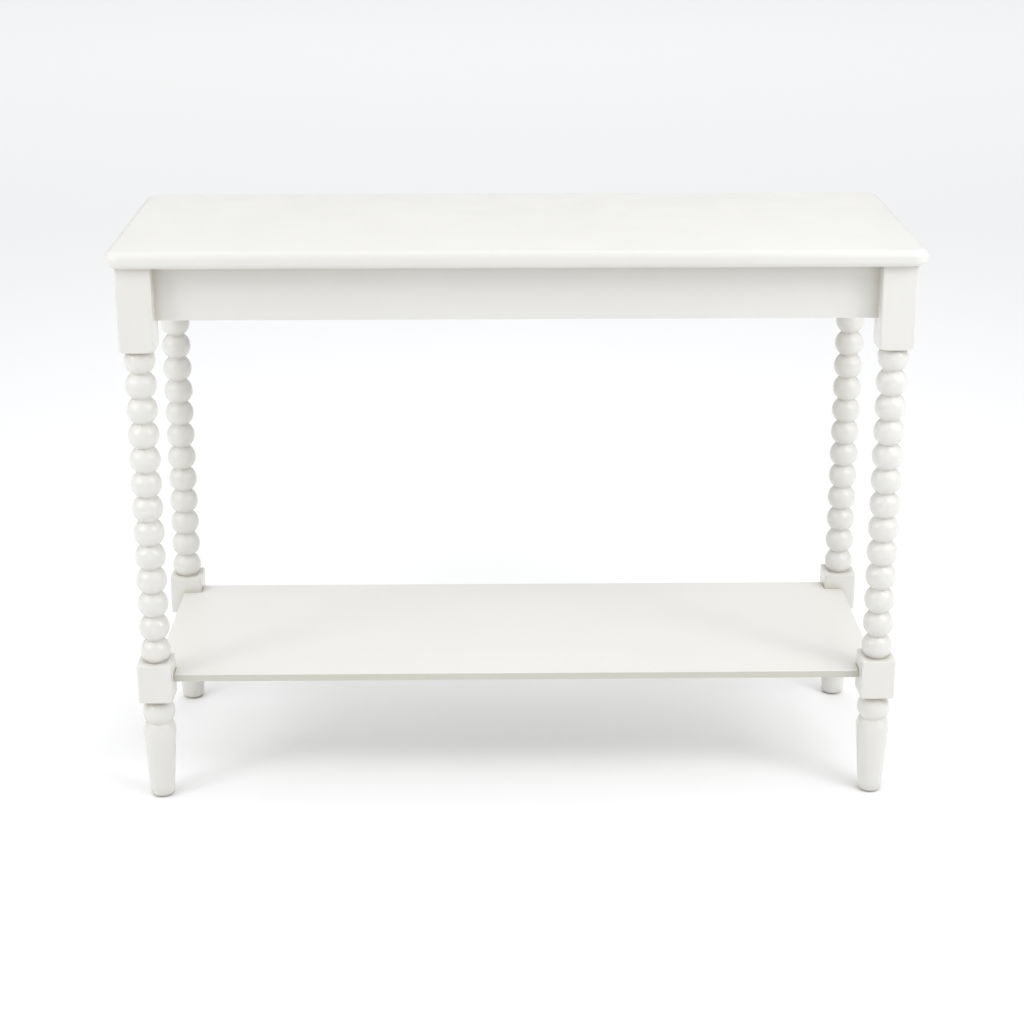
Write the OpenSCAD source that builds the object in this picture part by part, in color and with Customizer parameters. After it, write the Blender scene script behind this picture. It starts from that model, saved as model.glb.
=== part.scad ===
// Console table: a rounded top on four turned legs, joined by aprons,
// with a thin lower shelf notched round the legs. The front faces -Y.

/* [Overall size] */
// Length of the table top, left to right
table_w = 1070; // [800:10:1600]
// Depth of the table top, front to back
table_d = 390; // [320:5:600]
// Height of the top surface above the floor
table_h = 787; // [650:1:950]

/* [Table top] */
// Thickness of the top
top_t = 22; // [18:1:36]
// How far the top reaches past the outer faces of the legs
top_overhang = 13; // [4:1:40]
// Radius of the top's corners seen from above
top_corner_r = 24; // [14:1:60]
// Radius of the rounded upper and lower edges
top_edge_r = 9.5; // [2:0.5:12]

/* [Legs] */
// Width of the square blocks of the legs
leg_w = 46.5; // [42:0.5:62]
// Rounding of the blocks' upright edges
leg_edge_r = 2.5; // [1:0.5:6]
// Height of the block that the aprons meet
upper_block_h = 114.5; // [100:0.5:150]
// Radius of the turned shoulder under the upper block
upper_shoulder_r = 7; // [4:1:16]
// Height of the block that the shelf meets
lower_block_h = 55.5; // [50:0.5:80]
// Height of the lower block's underside above the floor
lower_block_z = 149; // [120:0.5:220]
// Radius of the turned shoulder under the lower block
lower_shoulder_r = 3; // [2:1:12]
// Diameter of the beads
bead_d = 41.5; // [38:0.5:46]
// Distance between beads that the row comes closest to
bead_pitch = 34.7; // [32:0.1:38]
// Diameter of the core between two beads
bead_neck_d = 23; // [18:0.5:28]
// How far the end beads run into the blocks
bead_tuck = 2.4; // [1:0.1:4]

/* [Feet] */
// Diameter of the ball under the lower block
ball_d = 45; // [40:0.5:50]
// Depth of the ball's centre below the lower block
ball_drop = 21; // [18:0.5:22]
// Distance from the ball's centre down to the foot's shoulder
foot_shoulder_drop = 29; // [24:0.5:34]
// Diameter at the lower end of the foot
foot_end_d = 33; // [30:0.5:40]
// Rounding of the foot's lower edge
foot_end_r = 4; // [1:0.5:5]

/* [Aprons] */
// Thickness of the aprons
apron_t = 20; // [16:1:24]
// Height of the aprons
apron_h = 76; // [70:1:95]
// How far the aprons stand back from the legs' outer faces
apron_setback = 24; // [6:1:26]

/* [Lower shelf] */
// Thickness of the shelf
shelf_t = 10; // [8:1:18]
// How far the shelf's edges stand back from the legs' outer faces
shelf_setback = 20; // [8:1:22]
// Depth of the shelf's upper face below the top of the lower blocks
shelf_drop = 22; // [4:1:24]

/* [Dowels] */
// Diameter of the dowels
dowel_d = 8; // [6:1:8]
// Length of the dowels
dowel_len = 40; // [30:2:44]
// Distance between the two dowels in an end of a long apron
long_dowel_gap = 46; // [44:1:48]
// Distance between the two dowels in an end of a side apron
side_dowel_gap = 24; // [22:1:25]
// Height of the middle of the corner joints above the aprons' lower edges
joint_z = 35; // [33:1:36]

/* [Corner brackets] */
// Height of the corner brackets
bracket_h = 46; // [40:1:48]
// Thickness of their sheet steel
bracket_t = 2; // [1.5:0.1:3]
// Gap between a leg's inner edge and its bracket
bracket_gap = 12; // [8:1:16]
// Length of the flange that lies against each apron
flange_len = 25; // [20:1:34]
// Depth of the hooked end that seats in a saw cut in the apron
hook_depth = 4; // [2:0.5:6]
// Flat planed on the leg's inner edge where the bolt enters
leg_flat = 4; // [2:0.5:6]
// Diameter of the hanger bolts
bolt_d = 8; // [6:1:8]
// Length of the hanger bolts
bolt_len = 52; // [48:1:56]
// Distance across the flats of the nuts
nut_af = 13; // [10:1:13]
// Thickness of the nuts
nut_t = 6.5; // [4:0.5:7]
// Diameter of the washers
washer_d = 18; // [14:1:20]
// Thickness of the washers
washer_t = 1.6; // [1:0.1:2]

/* [Top clips] */
// Width of the steel clips that hold the top
clip_w = 20; // [14:1:30]
// Thickness of their steel
clip_t = 1.6; // [1:0.1:2]
// Length of the clip's plate under the top
clip_plate_len = 24; // [18:1:30]
// Depth of the groove for the clips below the aprons' upper edges
groove_drop = 9; // [7:0.5:10]
// Depth of the groove into the aprons
groove_depth = 8; // [5:0.5:9]
// Distance from the middle clip to the others on a long apron
clip_spacing = 300; // [150:10:300]

/* [Shelf brackets] */
// Width of the angle brackets under the shelf
angle_w = 16; // [12:1:20]
// Length of each of their legs
angle_len = 18; // [16:1:20]
// Thickness of their steel
angle_t = 2; // [1.5:0.1:2.5]

/* [Screws] */
// Shank diameter of the wood screws
screw_d = 4; // [3:0.5:4.5]
// Length of the wood screws under the head
screw_len = 15; // [12:1:16]
// Length of the short screws into the shelf
short_screw_len = 8.5; // [6:0.5:9]
// Head diameter of the screws
head_d = 7.6; // [6:0.2:8]
// Height of the screw heads
head_h = 2.4; // [2:0.2:3]

/* [Foot glides] */
// Diameter of the glides under the feet
glide_d = 22; // [14:1:24]
// Thickness of the glides
glide_t = 2; // [1.5:0.5:5]
// Diameter of the glide's nail
nail_d = 2; // [1.5:0.1:3]
// Length of the glide's nail
nail_len = 16; // [10:1:25]

/* [Clearances] */
// Gap all round between the shelf's notches and the legs
shelf_gap = 0.3; // [0.1:0.1:1]
// Gap round a bolt, screw or nail in the piece it passes through
pass_gap = 0.25; // [0.1:0.05:0.5]
// Gap round a dowel, thread or tongue that grips
grip_gap = 0.05; // [0.02:0.01:0.1]
// Room left beyond the end of a dowel or screw
end_gap = 1; // [0.5:0.5:2]

/* [Hidden] */

$fn = 48;
hex_sides = 6;
eps = 0.01;

// The four corners: left is -1 and right is +1, front is -1 and rear is +1
LEFT = -1;
RIGHT = 1;
FRONT = -1;
REAR = 1;
SIDES = [-1, 1];

// Legs
leg_x = table_w / 2 - top_overhang - leg_w / 2;
leg_y = table_d / 2 - top_overhang - leg_w / 2;
half_leg = leg_w / 2;
leg_corner_r = half_leg * sqrt(2);
top_z = table_h - top_t;
upper_block_z = top_z - upper_block_h;
lower_block_top_z = lower_block_z + lower_block_h;
bead_zone = upper_block_z - lower_block_top_z + 2 * bead_tuck;
bead_count = round(bead_zone / bead_pitch);
bead_step = bead_zone / bead_count;
ball_z = lower_block_z - ball_drop;
foot_shoulder_z = ball_z - foot_shoulder_drop;

// Aprons, seen from a leg's axis: how far inwards their faces lie
apron_in = apron_setback + apron_t - half_leg;
apron_mid = apron_setback + apron_t / 2 - half_leg;
apron_z = top_z - apron_h;
joint_mid_z = apron_z + joint_z;

// Corner brackets, seen from a leg's axis along the diagonal
web_near = leg_corner_r + bracket_gap;
web_far = web_near + bracket_t;
flange_start = web_near * sqrt(2) - apron_in;
flange_end = flange_start + flange_len;
flange_screw_u = flange_start + flange_len * 0.56;
flange_screw_gap = bracket_h * 0.58;
bolt_end = web_far + washer_t + nut_t + 3;
bolt_start = bolt_end - bolt_len;
leg_flat_at = leg_corner_r - leg_flat;

// Top clips
clip_riser_gap = 1;
groove_z = top_z - groove_drop;
groove_t = clip_t + 2 * grip_gap;
clip_screw_at = clip_plate_len * 0.62;

// Lower shelf
shelf_top_z = lower_block_top_z - shelf_drop;
shelf_z = shelf_top_z - shelf_t;
shelf_w = 2 * (leg_x + half_leg - shelf_setback);
shelf_d = 2 * (leg_y + half_leg - shelf_setback);
notch = leg_w - shelf_setback + shelf_gap;
angle_x = half_leg - (notch - shelf_gap) / 2;
angle_screw_at = angle_len * 0.6;

// Foot glides: the nail's end is moulded into the upper half of the glide
nail_seat_z = glide_t / 2;

// Draws its children in the corner of one leg, with the leg's axis at the
// origin and X and Y both pointing inwards, to the middle of the table
module at_leg(side, end) {
    translate([side * leg_x, end * leg_y, 0])
        mirror([side == RIGHT ? 1 : 0, 0, 0])
            mirror([0, end == REAR ? 1 : 0, 0])
                children();
}

module at_each_leg() {
    for (side = SIDES, end = SIDES)
        at_leg(side, end)
            children();
}

// Swaps X and Y, to repeat on the side apron what the long apron has
module other_apron() {
    mirror([1, -1, 0])
        children();
}

// A rectangle centred on the origin with round corners
module rounded_rect(size, r) {
    square([size[0] - 2 * r, size[1]], center = true);
    square([size[0], size[1] - 2 * r], center = true);
    for (x = SIDES, y = SIDES)
        translate([x * (size[0] / 2 - r), y * (size[1] / 2 - r)])
            circle(r);
}

// ---- Table top ----

module table_top() {
    edge_r = min(top_edge_r, top_t / 2 - 0.5);
    corner_r = max(top_corner_r, edge_r + 1);
    straight_w = table_w - 2 * corner_r;
    straight_d = table_d - 2 * corner_r;
    color("#f3f3f0")
        difference() {
            translate([0, 0, top_z + top_t / 2])
                union() {
                    rotate([90, 0, 90])
                        linear_extrude(height = straight_w, center = true)
                            rounded_rect([table_d, top_t], edge_r);
                    rotate([90, 0, 0])
                        linear_extrude(height = straight_d, center = true)
                            rounded_rect([table_w, top_t], edge_r);
                    top_corner(corner_r, edge_r, 0, [straight_w / 2, straight_d / 2]);
                    top_corner(corner_r, edge_r, 90, [-straight_w / 2, straight_d / 2]);
                    top_corner(corner_r, edge_r, 180, [-straight_w / 2, -straight_d / 2]);
                    top_corner(corner_r, edge_r, 270, [straight_w / 2, -straight_d / 2]);
                }
            at_each_clip()
                translate([0, clip_screw_at, -clip_t])
                    screw_hole(screw_len);
        }
}

module top_corner(corner_r, edge_r, turn, place) {
    translate([place[0], place[1], 0])
        rotate([0, 0, turn])
            rotate_extrude(angle = 90)
                intersection() {
                    rounded_rect([2 * corner_r, top_t], edge_r);
                    translate([0, -top_t])
                        square([2 * corner_r, 2 * top_t]);
                }
}

// ---- Legs ----

// Outline of the turned part of a leg, right of its axis
module turning_outline() {
    foot_r = foot_end_d / 2;
    intersection() {
        union() {
            // Core through the beads, from block to block
            translate([0, lower_block_z])
                square([bead_neck_d / 2, upper_block_z + bead_tuck - lower_block_z]);
            for (i = [0 : bead_count - 1])
                translate([0, lower_block_top_z - bead_tuck + (i + 0.5) * bead_step])
                    circle(bead_d / 2);
            // Ball and shoulder over the tapered foot
            translate([0, ball_z])
                circle(ball_d / 2);
            translate([0, ball_z])
                square([bead_neck_d / 2, lower_block_z - ball_z + eps]);
            translate([0, foot_shoulder_z])
                circle(ball_d / 2);
            polygon([
                [0, glide_t],
                [foot_r - foot_end_r, glide_t],
                [foot_r, glide_t + foot_end_r],
                [ball_d / 2, foot_shoulder_z],
                [0, foot_shoulder_z]
            ]);
            translate([foot_r - foot_end_r, glide_t + foot_end_r])
                circle(foot_end_r);
        }
        translate([0, glide_t])
            square([leg_w, table_h]);
    }
}

// A square block with rounded upright edges and a turned lower end
module leg_block(z, h, shoulder_r) {
    translate([0, 0, z])
        intersection() {
            linear_extrude(height = h)
                rounded_rect([leg_w, leg_w], leg_edge_r);
            rotate_extrude()
                union() {
                    square([leg_corner_r - shoulder_r, h]);
                    translate([0, shoulder_r])
                        square([leg_corner_r, h - shoulder_r]);
                    translate([leg_corner_r - shoulder_r, shoulder_r])
                        circle(shoulder_r);
                }
        }
}

// Planes a flat on the leg's inner edge and bores it for the hanger bolt
module leg_joint_cuts() {
    translate([0, 0, joint_mid_z])
        rotate([0, 0, 45]) {
            translate([leg_flat_at, -leg_w, -joint_z])
                cube([leg_w, 2 * leg_w, apron_h]);
            rotate([0, 90, 0])
                translate([0, 0, bolt_start - end_gap])
                    cylinder(h = bolt_len, d = bolt_d + 2 * grip_gap);
        }
}

module leg(side, end) {
    color("#f1f1ee")
        at_leg(side, end)
            difference() {
                union() {
                    rotate_extrude()
                        turning_outline();
                    leg_block(upper_block_z, upper_block_h, upper_shoulder_r);
                    leg_block(lower_block_z, lower_block_h, lower_shoulder_r);
                }
                leg_joint_cuts();
                dowel_holes(long_dowel_gap);
                other_apron()
                    dowel_holes(side_dowel_gap);
                translate([angle_x, half_leg + angle_t, shelf_z - angle_screw_at])
                    rotate([90, 0, 0])
                        screw_hole(screw_len);
                translate([0, 0, -eps])
                    cylinder(h = glide_t + nail_len + end_gap, d = nail_d + 2 * grip_gap);
            }
}

module leg_front_left() { leg(LEFT, FRONT); }
module leg_front_right() { leg(RIGHT, FRONT); }
module leg_rear_left() { leg(LEFT, REAR); }
module leg_rear_right() { leg(RIGHT, REAR); }

// ---- Dowels ----

// The two dowels that join a long apron to a leg, along X
module at_dowels(gap) {
    for (z = SIDES)
        translate([half_leg, apron_mid, joint_mid_z + z * gap / 2])
            rotate([0, 90, 0])
                children();
}

module dowel_holes(gap) {
    at_dowels(gap)
        cylinder(h = dowel_len + 2 * end_gap, d = dowel_d + 2 * grip_gap, center = true);
}

module dowels(gap) {
    bevel = 1;
    at_dowels(gap)
        rotate_extrude()
            polygon([
                [0, -dowel_len / 2],
                [dowel_d / 2 - bevel, -dowel_len / 2],
                [dowel_d / 2, bevel - dowel_len / 2],
                [dowel_d / 2, dowel_len / 2 - bevel],
                [dowel_d / 2 - bevel, dowel_len / 2],
                [0, dowel_len / 2]
            ]);
}

module apron_dowels() {
    color("#d9bd8f")
        at_each_leg() {
            dowels(long_dowel_gap);
            other_apron()
                dowels(side_dowel_gap);
        }
}

// ---- Aprons ----

// Half of a long apron, from a leg to the middle, in that leg's corner
module apron_half(length, dowel_gap) {
    difference() {
        translate([half_leg, apron_in - apron_t, apron_z])
            cube([length, apron_t, apron_h]);
        translate([half_leg - eps, apron_in - groove_depth, groove_z - groove_t])
            cube([length + 2 * eps, groove_depth + eps, groove_t]);
        dowel_holes(dowel_gap);
        bracket_cuts();
        at_bolt()
            cylinder(h = web_far, d = bolt_d + 2 * pass_gap);
        corner_mitre();
    }
}

// Everything past the diagonal of the corner, where a thick apron would
// otherwise run into the apron beside it. Each stops grip_gap short of it
module corner_mitre() {
    rotate([0, 0, 45])
        translate([0, -grip_gap, apron_z - eps])
            cube([2 * leg_w, leg_w, apron_h + 2 * eps]);
}

module apron_front() {
    color("#eeeeea")
        for (side = SIDES)
            at_leg(side, FRONT)
                apron_half(leg_x - half_leg, long_dowel_gap);
}

module apron_rear() {
    color("#eeeeea")
        for (side = SIDES)
            at_leg(side, REAR)
                apron_half(leg_x - half_leg, long_dowel_gap);
}

module side_apron(side) {
    color("#eeeeea")
        for (end = SIDES)
            at_leg(side, end)
                other_apron()
                    apron_half(leg_y - half_leg, side_dowel_gap);
}

module apron_left() { side_apron(LEFT); }
module apron_right() { side_apron(RIGHT); }

// ---- Corner brackets, hanger bolts, washers and nuts ----

// Half of a bracket's outline seen from above: the middle of the web's near
// face, round the flange and its hook, to the middle of the web's far face
bracket_half = [
    [web_near / sqrt(2), web_near / sqrt(2)],
    [flange_start, apron_in],
    [flange_end, apron_in],
    [flange_end, apron_in - hook_depth],
    [flange_end + bracket_t, apron_in - hook_depth],
    [flange_end + bracket_t, apron_in + bracket_t],
    [web_far * sqrt(2) - apron_in - bracket_t, apron_in + bracket_t],
    [web_far / sqrt(2), web_far / sqrt(2)]
];

// The whole outline: the second half is the first with X and Y swapped
bracket_outline = concat(
    bracket_half,
    [for (i = [len(bracket_half) - 2 : -1 : 1]) [bracket_half[i][1], bracket_half[i][0]]]
);

module at_bracket_screws() {
    for (z = SIDES)
        translate([flange_screw_u, apron_in + bracket_t, joint_mid_z + z * flange_screw_gap / 2])
            rotate([90, 0, 0])
                children();
}

// The saw cut for the hook and the pilot holes for the screws in an apron
module bracket_cuts() {
    translate([flange_end - grip_gap, apron_in - hook_depth - end_gap, apron_z - eps])
        cube([bracket_t + 2 * grip_gap, hook_depth + end_gap + eps, apron_h + 2 * eps]);
    at_bracket_screws()
        screw_hole(screw_len);
}

module corner_bracket(side, end) {
    color("#c3c6c8")
        at_leg(side, end)
            difference() {
                translate([0, 0, joint_mid_z - bracket_h / 2])
                    linear_extrude(height = bracket_h)
                        polygon(bracket_outline);
                at_bolt()
                    cylinder(h = 2 * web_far, d = bolt_d + 2 * pass_gap);
                at_bracket_screws()
                    screw_clearance();
                other_apron()
                    at_bracket_screws()
                        screw_clearance();
            }
}

module corner_bracket_front_left() { corner_bracket(LEFT, FRONT); }
module corner_bracket_front_right() { corner_bracket(RIGHT, FRONT); }
module corner_bracket_rear_left() { corner_bracket(LEFT, REAR); }
module corner_bracket_rear_right() { corner_bracket(RIGHT, REAR); }

module corner_bracket_screws() {
    color("#cfcfc8")
        at_each_leg() {
            at_bracket_screws()
                screw(screw_len);
            other_apron()
                at_bracket_screws()
                    screw(screw_len);
        }
}

// Z runs along the hanger bolt, out of the leg through the bracket
module at_bolt() {
    translate([0, 0, joint_mid_z])
        rotate([0, 0, 45])
            rotate([0, 90, 0])
                children();
}

module hanger_bolts() {
    bevel = 1;
    color("#c9c9c4")
        at_each_leg()
            at_bolt()
                translate([0, 0, bolt_end])
                    mirror([0, 0, 1])
                        pointed_rod(bolt_d, bolt_len, bolt_d, bevel);
}

module hanger_washers() {
    color("#c9c9c4")
        at_each_leg()
            at_bolt()
                translate([0, 0, web_far])
                    difference() {
                        cylinder(h = washer_t, d = washer_d);
                        translate([0, 0, -eps])
                            cylinder(h = washer_t + 2 * eps, d = bolt_d + 2 * pass_gap);
                    }
}

module hanger_nuts() {
    bevel = 1;
    corner_d = nut_af / cos(180 / hex_sides);
    color("#c9c9c4")
        at_each_leg()
            at_bolt()
                translate([0, 0, web_far + washer_t])
                    difference() {
                        intersection() {
                            cylinder(h = nut_t, d = corner_d, $fn = hex_sides);
                            union() {
                                cylinder(h = nut_t - bevel, d = corner_d + bevel);
                                translate([0, 0, nut_t - bevel])
                                    cylinder(h = bevel, d1 = corner_d, d2 = nut_af);
                            }
                        }
                        translate([0, 0, -eps])
                            cylinder(h = nut_t + 2 * eps, d = bolt_d + 2 * grip_gap);
                    }
}

// ---- Clips that hold the top ----

// Places children at each clip: the origin on the apron's inner face and the
// underside of the top, with Y pointing to the middle of the table
module at_each_clip() {
    for (x = [-clip_spacing, 0, clip_spacing], end = SIDES)
        translate([x, 0, top_z])
            mirror([0, end == REAR ? 1 : 0, 0])
                translate([0, apron_in - leg_y, 0])
                    children();
    for (side = SIDES)
        mirror([side == RIGHT ? 1 : 0, 0, 0])
            translate([apron_in - leg_x, 0, top_z])
                rotate([0, 0, -90])
                    children();
}

module top_clips() {
    tongue_z = -groove_drop - grip_gap;
    tongue_len = groove_depth - end_gap;
    color("#c3c6c8")
        at_each_clip()
            difference() {
                rotate([90, 0, 90])
                    linear_extrude(height = clip_w, center = true)
                        polygon([
                            [-tongue_len, tongue_z - clip_t],
                            [clip_riser_gap + clip_t, tongue_z - clip_t],
                            [clip_riser_gap + clip_t, -clip_t],
                            [clip_plate_len, -clip_t],
                            [clip_plate_len, 0],
                            [clip_riser_gap, 0],
                            [clip_riser_gap, tongue_z],
                            [-tongue_len, tongue_z]
                        ]);
                translate([0, clip_screw_at, -clip_t])
                    screw_clearance();
            }
}

module top_clip_screws() {
    color("#cfcfc8")
        at_each_clip()
            translate([0, clip_screw_at, -clip_t])
                screw(screw_len);
}

// ---- Lower shelf ----

module lower_shelf() {
    color("#f0f0ed")
        difference() {
            translate([-shelf_w / 2, -shelf_d / 2, shelf_z])
                cube([shelf_w, shelf_d, shelf_t]);
            at_each_leg() {
                translate([half_leg + shelf_gap, half_leg + shelf_gap, shelf_z - eps])
                    rotate([0, 0, 180])
                        cube([2 * notch, 2 * notch, shelf_t + 2 * eps]);
                translate([angle_x, half_leg + angle_screw_at, shelf_z - angle_t])
                    screw_hole(short_screw_len);
            }
        }
}

// An angle bracket between the shelf's underside and a leg's inner face
module shelf_bracket(side, end) {
    color("#c3c6c8")
        at_leg(side, end)
            difference() {
                translate([angle_x, half_leg, shelf_z])
                    rotate([90, 0, 90])
                        linear_extrude(height = angle_w, center = true)
                            polygon([
                                [0, 0],
                                [angle_len, 0],
                                [angle_len, -angle_t],
                                [angle_t, -angle_t],
                                [angle_t, -angle_len],
                                [0, -angle_len]
                            ]);
                translate([angle_x, half_leg + angle_t, shelf_z - angle_screw_at])
                    rotate([90, 0, 0])
                        screw_clearance();
                translate([angle_x, half_leg + angle_screw_at, shelf_z - angle_t])
                    screw_clearance();
            }
}

module shelf_bracket_front_left() { shelf_bracket(LEFT, FRONT); }
module shelf_bracket_front_right() { shelf_bracket(RIGHT, FRONT); }
module shelf_bracket_rear_left() { shelf_bracket(LEFT, REAR); }
module shelf_bracket_rear_right() { shelf_bracket(RIGHT, REAR); }

module shelf_bracket_leg_screws() {
    color("#cfcfc8")
        at_each_leg()
            translate([angle_x, half_leg + angle_t, shelf_z - angle_screw_at])
                rotate([90, 0, 0])
                    screw(screw_len);
}

module shelf_bracket_shelf_screws() {
    color("#cfcfc8")
        at_each_leg()
            translate([angle_x, half_leg + angle_screw_at, shelf_z - angle_t])
                screw(short_screw_len);
}

// ---- Screws: the head seats on Z = 0 and the shank runs along +Z ----

module screw(length) {
    tip = min(screw_d, length / 3);
    crown_r = head_d * 0.31;
    slot_w = head_d / 8;
    difference() {
        rotate_extrude()
            polygon([
                [0, -head_h],
                [crown_r, -head_h],
                [head_d / 2, -head_h / 2],
                [head_d / 2, 0],
                [screw_d / 2, 0],
                [screw_d / 2, length - tip],
                [0, length]
            ]);
        for (turn = [0, 90])
            rotate([0, 0, turn])
                translate([-head_d / 4, -slot_w / 2, -head_h - eps])
                    cube([head_d / 2, slot_w, head_h * 0.6]);
    }
}

// A rod along +Z with a bevelled lower end and a pointed upper end
module pointed_rod(d, length, tip, bevel) {
    rotate_extrude()
        polygon([
            [0, 0],
            [d / 2 - bevel, 0],
            [d / 2, bevel],
            [d / 2, length - tip],
            [0, length]
        ]);
}

module screw_hole(length) {
    cylinder(h = length + end_gap, d = screw_d + 2 * grip_gap);
}

module screw_clearance() {
    translate([0, 0, -head_h])
        cylinder(h = 4 * head_h, d = screw_d + 2 * pass_gap);
}

// ---- Foot glides ----

module foot_glide(side, end) {
    color("#e4e2da")
        at_leg(side, end)
            difference() {
                rotate_extrude()
                    polygon([
                        [0, 0],
                        [glide_d / 2 - nail_seat_z, 0],
                        [glide_d / 2, nail_seat_z],
                        [glide_d / 2, glide_t],
                        [0, glide_t]
                    ]);
                translate([0, 0, nail_seat_z])
                    cylinder(h = glide_t, d = nail_d + 2 * grip_gap);
            }
}

module foot_glide_front_left() { foot_glide(LEFT, FRONT); }
module foot_glide_front_right() { foot_glide(RIGHT, FRONT); }
module foot_glide_rear_left() { foot_glide(LEFT, REAR); }
module foot_glide_rear_right() { foot_glide(RIGHT, REAR); }

module glide_nails() {
    bevel = 0.2;
    color("#c9c9c4")
        at_each_leg()
            translate([0, 0, nail_seat_z])
                pointed_rod(nail_d, glide_t - nail_seat_z + nail_len, nail_d, bevel);
}

table_top();
apron_front();
apron_rear();
apron_left();
apron_right();
leg_front_left();
leg_front_right();
leg_rear_left();
leg_rear_right();
lower_shelf();
apron_dowels();
corner_bracket_front_left();
corner_bracket_front_right();
corner_bracket_rear_left();
corner_bracket_rear_right();
corner_bracket_screws();
hanger_bolts();
hanger_washers();
hanger_nuts();
top_clips();
top_clip_screws();
shelf_bracket_front_left();
shelf_bracket_front_right();
shelf_bracket_rear_left();
shelf_bracket_rear_right();
shelf_bracket_leg_screws();
shelf_bracket_shelf_screws();
foot_glide_front_left();
foot_glide_front_right();
foot_glide_rear_left();
foot_glide_rear_right();
glide_nails();
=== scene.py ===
# Looks of the white console table with bead-turned legs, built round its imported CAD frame.
# Every size is in metres, in the frame's axes: +X right, +Y to the rear, +Z up.
import math

import bpy
import numpy as np
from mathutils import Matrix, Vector


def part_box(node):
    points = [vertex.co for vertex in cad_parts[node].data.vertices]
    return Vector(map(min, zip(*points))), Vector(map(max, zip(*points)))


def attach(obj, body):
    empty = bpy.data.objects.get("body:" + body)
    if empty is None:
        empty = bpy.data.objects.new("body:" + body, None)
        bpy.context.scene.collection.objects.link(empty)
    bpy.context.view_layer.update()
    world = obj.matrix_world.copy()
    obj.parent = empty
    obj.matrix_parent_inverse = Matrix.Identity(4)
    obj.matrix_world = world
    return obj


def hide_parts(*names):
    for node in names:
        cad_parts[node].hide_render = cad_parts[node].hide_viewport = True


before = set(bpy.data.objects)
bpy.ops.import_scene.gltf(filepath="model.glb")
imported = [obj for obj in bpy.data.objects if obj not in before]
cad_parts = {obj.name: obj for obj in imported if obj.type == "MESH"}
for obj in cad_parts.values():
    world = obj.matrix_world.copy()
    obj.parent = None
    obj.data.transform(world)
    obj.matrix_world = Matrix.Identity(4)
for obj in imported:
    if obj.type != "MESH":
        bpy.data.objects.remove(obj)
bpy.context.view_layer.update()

SCENE = bpy.context.scene
LEGS = ("leg_front_left", "leg_front_right", "leg_rear_left", "leg_rear_right")

# ---- Sizes of the turned legs, the same as the CAD legs' ----
LEG_W = 0.0465
LEG_EDGE_R = 0.0025
UPPER_BLOCK_H = 0.1145
UPPER_SHOULDER_R = 0.007
LOWER_BLOCK_Z = 0.149
LOWER_BLOCK_H = 0.0555
LOWER_SHOULDER_R = 0.003
BEAD_D = 0.0415
BEAD_COUNT = 13
BEAD_TUCK = 0.0024
NECK_D = 0.023
BALL_D = 0.045
BALL_DROP = 0.021
FOOT_SHOULDER_DROP = 0.029
FOOT_END_D = 0.033
FOOT_END_R = 0.004
LEG_FLAT = 0.004
APRON_H = 0.076

# ---- Sizes of the boards ----
TOP_EDGE_R = 0.0095
TOP_CORNER_R = 0.024
SHELF_GAP = 0.0003
BOARD_EASE = 0.0008

# ---- Eased edges and paint: HOLD and FLAT_STEP set rings close together beside a sharp change ----
BLOCK_EASE = 0.0009
PAINT_FILLET = 0.0009
HOLD = 0.0004
FLAT_STEP = 0.0001
EDGE_HOLD_DEG = 0.5

# ---- How many rings or points each round stretch has ----
FOOT_END_STEPS = 4
FOOT_STEPS = 6
BALL_STEPS = 14
BEAD_STEPS = 16
TOP_CORNER_STEPS = 12
TOP_EDGE_STEPS = 8
SHELF_EDGE_STEPS = 3

# ---- Paint colours: lighter and darker drifts, painted shade for tight corners and its reach, and painted shade for the shelf's edges ----
PAINT_LIGHT = (0.77, 0.762, 0.732)
PAINT_DARK = (0.752, 0.742, 0.708)
# Painted shade for corners and under overhangs.
PAINTED_CORNER_SHADE = (0.56, 0.525, 0.43)
# Painted shade for the shelf's upright edges, which get less light.
EDGE_SHADE_LIGHT = (0.62, 0.615, 0.55)
EDGE_SHADE_DARK = (0.58, 0.57, 0.50)
CORNER_SHADE_REACH = 0.016

# ---- Light: its colour, and the room's brightness at the horizon and overhead ----
LIGHT_COLOUR = (0.995, 1.0, 1.01)
SKY_HORIZON = 0.27
SKY_ZENITH = 1.05


# ---------------------------------------------------------------- meshes

def make_object(name, verts, faces, flat=False):
    """A smooth mesh object of the root body. With flat, its large faces keep their true normals."""
    mesh = bpy.data.meshes.new(name)
    mesh.from_pydata([tuple(v) for v in verts], [], faces)
    mesh.validate()
    mesh.shade_smooth()
    obj = bpy.data.objects.new(name, mesh)
    SCENE.collection.objects.link(obj)
    if flat:
        obj.modifiers.new("flat faces", "WEIGHTED_NORMAL").mode = "FACE_AREA"
    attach(obj, "root")
    return obj


def skin_rings(rings):
    """Vertices and faces of the closed skin over equal rings of points, with both ends capped."""
    count = len(rings[0])
    verts = [p for ring in rings for p in ring]
    faces = [tuple(reversed(range(count)))]
    for i in range(len(rings) - 1):
        low, high = i * count, (i + 1) * count
        for j in range(count):
            k = (j + 1) % count
            faces.append((low + j, low + k, high + k, high + j))
    last = (len(rings) - 1) * count
    faces.append(tuple(range(last, last + count)))
    return verts, faces


def mitres(outline):
    """For each point of a counter-clockwise outline, the step that moves both its edges out by 1."""
    points = np.asarray(outline, float)
    along = np.roll(points, -1, 0) - points
    along /= np.linalg.norm(along, axis=1)[:, None]
    after = np.c_[along[:, 1], -along[:, 0]]
    before = np.roll(after, 1, 0)
    return (before + after) / (1 + (before * after).sum(1))[:, None]


def plate_rings(outline, profile):
    """Rings of a plate: profile lists (inset, height) from the lower face's edge to the upper's."""
    points = np.asarray(outline, float)
    out = mitres(points)
    return [np.c_[points - inset * out, np.full(len(points), height)] for inset, height in profile]


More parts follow.
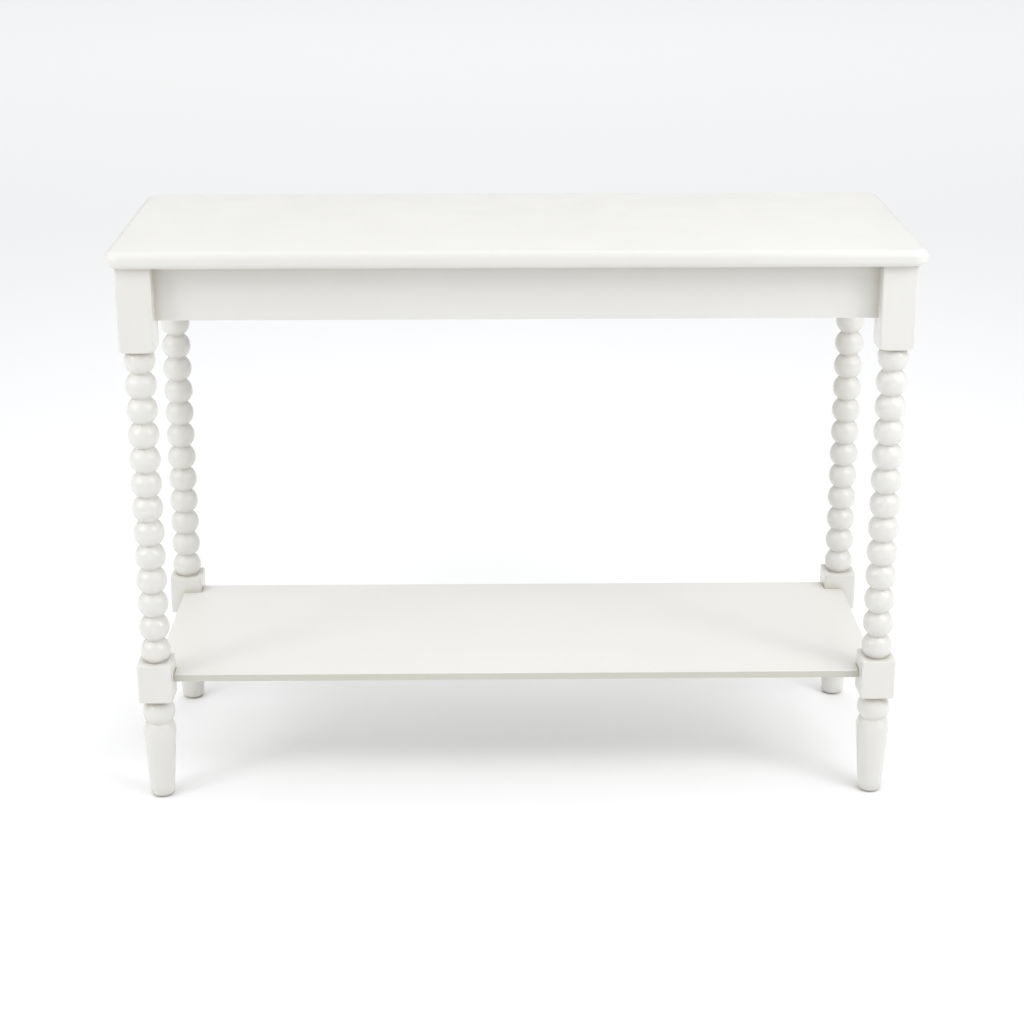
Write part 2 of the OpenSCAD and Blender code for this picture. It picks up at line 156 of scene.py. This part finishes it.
def edge_profile(low, high, radius, steps):
    """The rounded edge of a plate between two heights, as (inset, height) pairs."""
    profile = []
    for centre, start in ((low + radius, -90), (high - radius, 0)):
        for i in range(steps + 1):
            a = math.radians(start + 90 * i / steps)
            profile.append((radius * (1 - math.cos(a)), centre + radius * math.sin(a)))
    return profile


def rounded_rectangle(lo, hi, radius, steps):
    """Counter-clockwise outline of a rectangle with round corners."""
    corners = (
        (hi.x - radius, lo.y + radius, -90),
        (hi.x - radius, hi.y - radius, 0),
        (lo.x + radius, hi.y - radius, 90),
        (lo.x + radius, lo.y + radius, 180),
    )
    outline = []
    for x, y, start in corners:
        for i in range(steps + 1):
            a = math.radians(start + 90 * i / steps)
            outline.append((x + radius * math.cos(a), y + radius * math.sin(a)))
    return outline


def smooth_max(a, b, blend):
    """The larger of a and b, with the crease between them rounded over about blend."""
    return (a + b + np.sqrt((a - b) ** 2 + blend**2)) / 2


def smooth_min(a, b, blend):
    """The smaller of a and b, with the crease between them rounded over about blend."""
    return -smooth_max(-a, -b, blend)


# ---------------------------------------------------------------- legs

def leg_angles():
    """Directions round a leg's axis, closer together at the block's rounded edges."""
    edge = math.degrees(math.atan((LEG_W / 2 - LEG_EDGE_R) / (LEG_W / 2)))
    flat = np.linspace(-edge, edge, 19)
    corner = np.linspace(edge, 90 - edge, 9)[1:-1]
    hold = edge - EDGE_HOLD_DEG
    quarter = np.concatenate([flat[:1], [-hold], flat[1:-1], [hold], flat[-1:], corner])
    return np.radians(np.concatenate([quarter + 90 * q for q in range(4)]))


def square_radius(angles, half, edge):
    """Distance from the axis to a rounded square in each direction."""
    c = np.maximum(abs(np.cos(angles)), abs(np.sin(angles)))
    s = np.minimum(abs(np.cos(angles)), abs(np.sin(angles)))
    side = half / c
    centre = half - edge
    toward = centre * (c + s)
    corner = toward + np.sqrt(np.maximum(toward**2 - 2 * centre**2 + edge**2, 0))
    return np.where(side * s <= centre, side, corner)


def sphere_stack(centres, radius, low, high, core, steps):
    """(height, radius) pairs up a row of spheres round a core, between two heights."""
    pairs = []
    limits = [low] + [(a + b) / 2 for a, b in zip(centres, centres[1:])] + [high]
    for centre, bottom, top in zip(centres, limits, limits[1:]):
        start = math.asin(max(-1, (bottom - centre) / radius))
        stop = math.asin(min(1, (top - centre) / radius))
        for i in range(steps):
            a = start + (stop - start) * i / steps
            pairs.append((centre + radius * math.sin(a), radius * math.cos(a)))
    pairs.append((high, math.sqrt(max(0, radius**2 - (high - centres[-1]) ** 2))))
    return [(z, float(smooth_max(r, core, PAINT_FILLET))) for z, r in pairs]


def block_rings(angles, low, high, shoulder, flat_from=None, inner=0):
    """(height, radii) pairs of a square block with a turned, eased lower end and an eased top.

    Above flat_from, the edge at the angle inner is planed flat for the hanger bolt."""
    half = LEG_W / 2
    turned_r = half * math.sqrt(2)
    rises = [shoulder * (1 - math.cos(math.radians(a))) for a in range(0, 91, 6)]
    rises += [BLOCK_EASE * (1 - math.cos(math.radians(a))) for a in range(18, 91, 18)]
    middle = np.linspace(low + shoulder, high - BLOCK_EASE - HOLD, 6)[1:]
    rings = []
    for z in [low + rise for rise in sorted(rises)] + list(middle) + [high - BLOCK_EASE]:
        rise = z - low
        eased = BLOCK_EASE - math.sqrt(BLOCK_EASE**2 - max(0, BLOCK_EASE - rise) ** 2)
        square = square_radius(angles, half - eased, LEG_EDGE_R)
        turned = turned_r - shoulder + math.sqrt(shoulder**2 - max(0, shoulder - rise) ** 2)
        turned += max(0, rise - shoulder)
        rings.append((z, smooth_min(square, turned, PAINT_FILLET)))
    rings.insert(0, (low, rings[0][1] - HOLD))
    for a in (30, 60, 90):
        eased = BLOCK_EASE * (1 - math.cos(math.radians(a)))
        z = high - BLOCK_EASE + BLOCK_EASE * math.sin(math.radians(a))
        rings.append((z, square_radius(angles, half - eased, LEG_EDGE_R)))
    rings.append((high, rings[-1][1] - HOLD))
    if flat_from is not None:
        rings = plane_flat(angles, rings, flat_from, inner)
    return rings


def plane_flat(angles, rings, flat_from, inner):
    """Cuts the block's inner edge back to a flat from the height flat_from upwards."""
    distance = LEG_W / 2 * math.sqrt(2) - LEG_FLAT
    facing = np.cos(angles - inner)
    limit = np.where(facing > 0.5, distance / np.maximum(facing, 0.5), 1.0)
    cut = []
    started = False
    for z, radii in rings:
        if z > flat_from and not started:
            started = True
            for step in (-FLAT_STEP, FLAT_STEP):
                cut.append((flat_from + step, np.minimum(radii, limit) if step > 0 else radii))
        cut.append((z, np.minimum(radii, limit) if started else radii))
    return cut


def leg(name):
    """One turned leg as a single skin: foot, ball, lower block, beads, upper block."""
    lo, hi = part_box(name)
    axis = (lo + hi) / 2
    angles = leg_angles()
    inner = math.atan2(math.copysign(1, -axis.y), math.copysign(1, -axis.x))
    ball_z = LOWER_BLOCK_Z - BALL_DROP
    shoulder_z = ball_z - FOOT_SHOULDER_DROP
    lower_top = LOWER_BLOCK_Z + LOWER_BLOCK_H
    upper_low = hi.z - UPPER_BLOCK_H
    foot_r = FOOT_END_D / 2
    core = NECK_D / 2

    round_part = []
    for i in range(FOOT_END_STEPS + 1):
        a = math.radians(-90 + 90 * i / FOOT_END_STEPS)
        round_part.append((
            lo.z + FOOT_END_R + FOOT_END_R * math.sin(a),
            foot_r - FOOT_END_R + FOOT_END_R * math.cos(a),
        ))
    for i in range(1, FOOT_STEPS):
        t = i / FOOT_STEPS
        round_part.append((
            lo.z + FOOT_END_R + t * (shoulder_z - lo.z - FOOT_END_R),
            foot_r + t * (BALL_D / 2 - foot_r),
        ))
    round_part += sphere_stack(
        [shoulder_z, ball_z], BALL_D / 2, shoulder_z, LOWER_BLOCK_Z, core, BALL_STEPS
    )
    rings = [(z, np.full(len(angles), r)) for z, r in round_part]
    rings += block_rings(angles, LOWER_BLOCK_Z, lower_top, LOWER_SHOULDER_R)

    zone = upper_low - lower_top + 2 * BEAD_TUCK
    step = zone / BEAD_COUNT
    centres = [lower_top - BEAD_TUCK + (i + 0.5) * step for i in range(BEAD_COUNT)]
    beads = sphere_stack(centres, BEAD_D / 2, lower_top, upper_low, core, BEAD_STEPS)
    rings += [(z, np.full(len(angles), r)) for z, r in beads]
    rings += block_rings(
        angles, upper_low, hi.z, UPPER_SHOULDER_R, flat_from=hi.z - APRON_H, inner=inner
    )

    skin = [
        np.c_[axis.x + r * np.cos(angles), axis.y + r * np.sin(angles), np.full(len(angles), z)]
        for z, r in rings
    ]
    verts, faces = skin_rings(skin)
    obj = make_object(name + "_turned", verts, faces)
    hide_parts(name)
    return obj


# ---------------------------------------------------------------- boards

def table_top():
    """The top board, with its rounded corners and rounded edge."""
    lo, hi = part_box("table_top")
    outline = rounded_rectangle(lo, hi, TOP_CORNER_R, TOP_CORNER_STEPS)
    profile = edge_profile(lo.z, hi.z, TOP_EDGE_R, TOP_EDGE_STEPS)
    verts, faces = skin_rings(plate_rings(outline, profile))
    obj = make_object("table_top_board", verts, faces, flat=True)
    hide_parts("table_top")
    return obj


def lower_shelf():
    """The thin shelf, notched round the legs' lower blocks, with eased edges."""
    lo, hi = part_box("lower_shelf")
    leg_lo, leg_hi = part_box("leg_front_right")
    x, y = hi.x, hi.y
    nx, ny = leg_lo.x - SHELF_GAP, -leg_hi.y - SHELF_GAP
    outline = [
        (nx, -y), (nx, -ny), (x, -ny), (x, ny), (nx, ny), (nx, y),
        (-nx, y), (-nx, ny), (-x, ny), (-x, -ny), (-nx, -ny), (-nx, -y),
    ]
    profile = edge_profile(lo.z, hi.z, BOARD_EASE, SHELF_EDGE_STEPS)
    verts, faces = skin_rings(plate_rings(outline, profile))
    obj = make_object("lower_shelf_board", verts, faces, flat=True)
    # Painted shade: the upright edge faces take the darker edge material.
    for face in obj.data.polygons:
        face.material_index = 1 if abs(face.normal.z) < 0.5 else 0
    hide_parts("lower_shelf")
    return obj


# ---------------------------------------------------------------- materials

def new_material(name):
    """A new material, its nodes, its links and its main shader."""
    material = bpy.data.materials.new(name)
    material.use_nodes = True
    nodes = material.node_tree.nodes
    return material, nodes, material.node_tree.links, nodes["Principled BSDF"]


def noise(nodes, links, scale, stretch=(1, 1, 1), detail=3.0, offset=(0, 0, 0)):
    """A noise over the surface in waves per metre, squeezed along the axes of stretch under 1."""
    coords = nodes.new("ShaderNodeTexCoord")
    mapping = nodes.new("ShaderNodeMapping")
    mapping.inputs["Scale"].default_value = stretch
    mapping.inputs["Location"].default_value = offset
    links.new(coords.outputs["Object"], mapping.inputs["Vector"])
    texture = nodes.new("ShaderNodeTexNoise")
    texture.inputs["Scale"].default_value = scale
    texture.inputs["Detail"].default_value = detail
    links.new(mapping.outputs["Vector"], texture.inputs["Vector"])
    return texture.outputs["Fac"]


def spread(nodes, links, value, low, high, start=0.3, stop=0.7):
    """Spreads the values from start to stop over the range from low to high."""
    node = nodes.new("ShaderNodeMapRange")
    node.inputs["From Min"].default_value = start
    node.inputs["From Max"].default_value = stop
    node.inputs["To Min"].default_value = low
    node.inputs["To Max"].default_value = high
    links.new(value, node.inputs["Value"])
    return node.outputs["Result"]


def blend_colour(nodes, links, value, first, second):
    """Mixes two colours, each a constant or another node's output, by value."""
    node = nodes.new("ShaderNodeMix")
    node.data_type = "RGBA"
    factor, a, b = node.inputs[0], node.inputs[6], node.inputs[7]
    links.new(value, factor)
    for socket, colour in ((a, first), (b, second)):
        if isinstance(colour, tuple):
            socket.default_value = (*colour, 1)
        else:
            links.new(colour, socket)
    return node.outputs[2]


def bumps(nodes, links, shader, layers):
    """Chains bumps, each a (height, depth in metres, strength), into the shader's normal."""
    below = None
    for height, depth, strength in layers:
        bump = nodes.new("ShaderNodeBump")
        bump.inputs["Distance"].default_value = depth
        bump.inputs["Strength"].default_value = strength
        links.new(height, bump.inputs["Height"])
        if below:
            links.new(below, bump.inputs["Normal"])
        below = bump.outputs["Normal"]
    links.new(below, shader.inputs["Normal"])


def corner_shade_mask(nodes, reach):
    """Ambient occlusion as the mask of painted shade: 1 in the open and falling towards 0 in corners
    narrower than reach.
    """
    occlusion = nodes.new("ShaderNodeAmbientOcclusion")
    occlusion.inputs["Distance"].default_value = reach
    occlusion.samples = 8
    return occlusion.outputs["AO"]


def paint(name, rough, along, grain_depth, light=PAINT_LIGHT, dark=PAINT_DARK):
    """Satin paint sprayed over wood: slow drifts of tone, orange peel, and a trace of grain.

    along squeezes the grain's noise along the wood. Corners and the undersides of overhangs get
    painted shade: a darker, yellower colour mixed in by ambient occlusion."""
    material, nodes, links, shader = new_material(name)
    drift = spread(nodes, links, noise(nodes, links, 4.0, detail=2.0), 0, 1)
    open_colour = blend_colour(nodes, links, drift, light, dark)
    mottle = spread(nodes, links, noise(nodes, links, 45.0, along), 0, 0.5)
    open_colour = blend_colour(nodes, links, mottle, open_colour, dark)
    # Painted shade: a darker, yellower colour is mixed in where the occlusion finds a corner or an
    # overhang.
    corner = spread(nodes, links, corner_shade_mask(nodes, CORNER_SHADE_REACH), 0.7, 0, 0.25, 0.95)
    colour = blend_colour(nodes, links, corner, open_colour, PAINTED_CORNER_SHADE)
    links.new(colour, shader.inputs["Base Color"])
    gloss = spread(nodes, links, noise(nodes, links, 25.0), rough - 0.03, rough + 0.05)
    links.new(gloss, shader.inputs["Roughness"])
    bumps(nodes, links, shader, [
        (noise(nodes, links, 330.0, detail=2.0), 0.00003, 0.35),
        (noise(nodes, links, 160.0, along, 4.0), grain_depth, 0.4),
    ])
    return material


def zinc(name, colour, rough, cells):
    """Zinc-plated steel with a mottled, faintly spangled face and fine scratches."""
    material, nodes, links, shader = new_material(name)
    shader.inputs["Metallic"].default_value = 1
    spangle = nodes.new("ShaderNodeTexVoronoi")
    spangle.inputs["Scale"].default_value = cells
    links.new(nodes.new("ShaderNodeTexCoord").outputs["Object"], spangle.inputs["Vector"])
    patch = spread(nodes, links, spangle.outputs["Distance"], 0, 1, 0, 1)
    dull = tuple(0.72 * c for c in colour)
    links.new(blend_colour(nodes, links, patch, colour, dull), shader.inputs["Base Color"])
    cloud = noise(nodes, links, 180.0)
    links.new(spread(nodes, links, cloud, rough - 0.08, rough + 0.12), shader.inputs["Roughness"])
    scratch = noise(nodes, links, 900.0, (1, 0.08, 1), 2.0)
    bumps(nodes, links, shader, [(scratch, 0.00003, 0.4)])
    return material


def beech():
    """Bare beech for the dowels, with its grain and short dark flecks."""
    material, nodes, links, shader = new_material("beech")
    grain = noise(nodes, links, 420.0, (0.12, 0.12, 1), 5.0)
    fleck = noise(nodes, links, 1500.0, (0.3, 0.3, 1), 1.0)
    wood = blend_colour(nodes, links, spread(nodes, links, grain, 0, 1),
                        (0.70, 0.50, 0.31), (0.55, 0.36, 0.20))
    wood = blend_colour(nodes, links, spread(nodes, links, fleck, 0, 0.5, 0.6, 0.8),
                        wood, (0.36, 0.21, 0.11))
    links.new(wood, shader.inputs["Base Color"])
    links.new(spread(nodes, links, grain, 0.55, 0.7), shader.inputs["Roughness"])
    bumps(nodes, links, shader, [(grain, 0.00008, 0.5)])
    return material


def glide_plastic():
    """Moulded off-white polythene, scuffed where it slides on the floor."""
    material, nodes, links, shader = new_material("glide plastic")
    scuff = noise(nodes, links, 260.0, (1, 0.15, 1), 5.0)
    links.new(blend_colour(nodes, links, spread(nodes, links, scuff, 0, 1),
                           (0.74, 0.73, 0.68), (0.58, 0.56, 0.50)), shader.inputs["Base Color"])
    links.new(spread(nodes, links, scuff, 0.38, 0.6), shader.inputs["Roughness"])
    bumps(nodes, links, shader, [(scuff, 0.00005, 0.5)])
    return material


def assign(obj, *materials):
    """Gives an object its materials without changing which face takes which."""
    slots = [face.material_index for face in obj.data.polygons]
    obj.data.materials.clear()
    for material in materials:
        obj.data.materials.append(material)
    if len(materials) > 1:
        obj.data.polygons.foreach_set("material_index", slots)


# ---------------------------------------------------------------- stage

def softbox(name, place, size, power, target=(0, 0, 0.45)):
    """A flat soft light that faces the target, by default the middle of the table."""
    data = bpy.data.lights.new(name, "AREA")
    data.shape = "RECTANGLE"
    data.size, data.size_y = size
    data.energy = power
    data.color = LIGHT_COLOUR
    light = bpy.data.objects.new(name, data)
    SCENE.collection.objects.link(light)
    light.location = place
    light.rotation_mode = "QUATERNION"
    aim = Vector(target) - light.location
    light.rotation_quaternion = aim.to_track_quat("-Z", "Y")


def sky():
    """An even pale room that grows brighter overhead."""
    world = bpy.data.worlds.new("room")
    SCENE.world = world
    world.use_nodes = True
    nodes, links = world.node_tree.nodes, world.node_tree.links
    coords = nodes.new("ShaderNodeTexCoord")
    split = nodes.new("ShaderNodeSeparateXYZ")
    links.new(coords.outputs["Generated"], split.inputs["Vector"])
    level = spread(nodes, links, split.outputs["Z"], SKY_HORIZON, SKY_ZENITH, 0, 1)
    background = nodes["Background"]
    background.inputs["Color"].default_value = (*LIGHT_COLOUR, 1)
    links.new(level, background.inputs["Strength"])


def floor():
    """A plain, pale, matt studio floor."""
    reach = 30
    mesh = bpy.data.meshes.new("floor")
    corners = [(-reach, -reach, 0), (reach, -reach, 0), (reach, reach, 0), (-reach, reach, 0)]
    mesh.from_pydata(corners, [], [(0, 1, 2, 3)])
    obj = bpy.data.objects.new("floor", mesh)
    SCENE.collection.objects.link(obj)
    material, _, _, shader = new_material("floor")
    shader.inputs["Roughness"].default_value = 0.8
    shader.inputs["Specular IOR Level"].default_value = 0.1
    shader.inputs["Base Color"].default_value = (0.94, 0.94, 0.94, 1)
    assign(obj, material)


def studio():
    """The room, its floor, and soft lights in front, at the sides, behind and over the floor."""
    sky()
    floor()
    softbox("high left", (-1.3, -1.3, 2.3), (1.0, 1.0), 4.5)
    softbox("high right", (1.3, -1.3, 2.3), (1.0, 1.0), 12.5)
    softbox("side left", (-2.2, -0.3, 1.5), (1.0, 1.4), 6.5)
    softbox("side right", (2.2, -0.3, 1.5), (1.0, 1.4), 5.5)
    softbox("near left", (-1.6, -1.0, 1.3), (0.5, 0.65), 6.0)
    softbox("near right", (1.6, -1.0, 1.3), (0.5, 0.65), 6.0)
    softbox("back", (0, 2.2, 2.0), (2.0, 1.0), 6.0)
    softbox("over the floor behind", (0, 8.0, 6.0), (14.0, 8.0), 150.0, (0, 8.0, 0))


def camera():
    """The main view: from in front, a little left of centre and well above the top."""
    data = bpy.data.cameras.new("camera")
    cam = bpy.data.objects.new("camera", data)
    SCENE.collection.objects.link(cam)
    data.sensor_width = 36
    data.lens = 71.7
    data.shift_y = -0.12
    cam.location = (-0.046, -2.753, 1.3825)
    pitch_down, turn = 16.925, -0.859
    cam.rotation_euler = (math.radians(90 - pitch_down), 0, math.radians(turn))
    SCENE.camera = cam


# ---------------------------------------------------------------- build

def build():
    """Replaces the legs and boards, gives every piece its material, and sets the stage."""
    SCENE.view_settings.view_transform = "Standard"
    board_paint = paint("board paint", 0.33, (0.06, 1, 1), 0.00005)
    side_paint = paint("side apron paint", 0.33, (1, 0.06, 1), 0.00005)
    leg_paint = paint("leg paint", 0.19, (1, 1, 0.15), 0.00002)
    # The shelf's edges: a rougher paint whose darker colour is painted shade.
    edge_shade_paint = paint("shelf edge painted shade", 0.48, (0.06, 1, 1), 0.00012, EDGE_SHADE_LIGHT, EDGE_SHADE_DARK)
    assign(table_top(), board_paint)
    assign(lower_shelf(), board_paint, edge_shade_paint)
    for name in LEGS:
        assign(leg(name), leg_paint)
    looks = {
        "apron_front": board_paint,
        "apron_rear": board_paint,
        "apron_left": side_paint,
        "apron_right": side_paint,
        "apron_dowels": beech(),
    }
    sheet = zinc("zinc sheet", (0.62, 0.63, 0.65), 0.38, 240.0)
    fastener = zinc("zinc fasteners", (0.68, 0.68, 0.66), 0.3, 700.0)
    plastic = glide_plastic()
    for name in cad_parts:
        if name.startswith("foot_glide"):
            looks[name] = plastic
        elif "bracket" in name or name == "top_clips":
            looks[name] = fastener if name.endswith("screws") else sheet
        elif name.endswith(("screws", "bolts", "washers", "nuts", "nails")):
            looks[name] = fastener
    for name, material in looks.items():
        assign(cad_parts[name], material)
    studio()
    camera()


build()
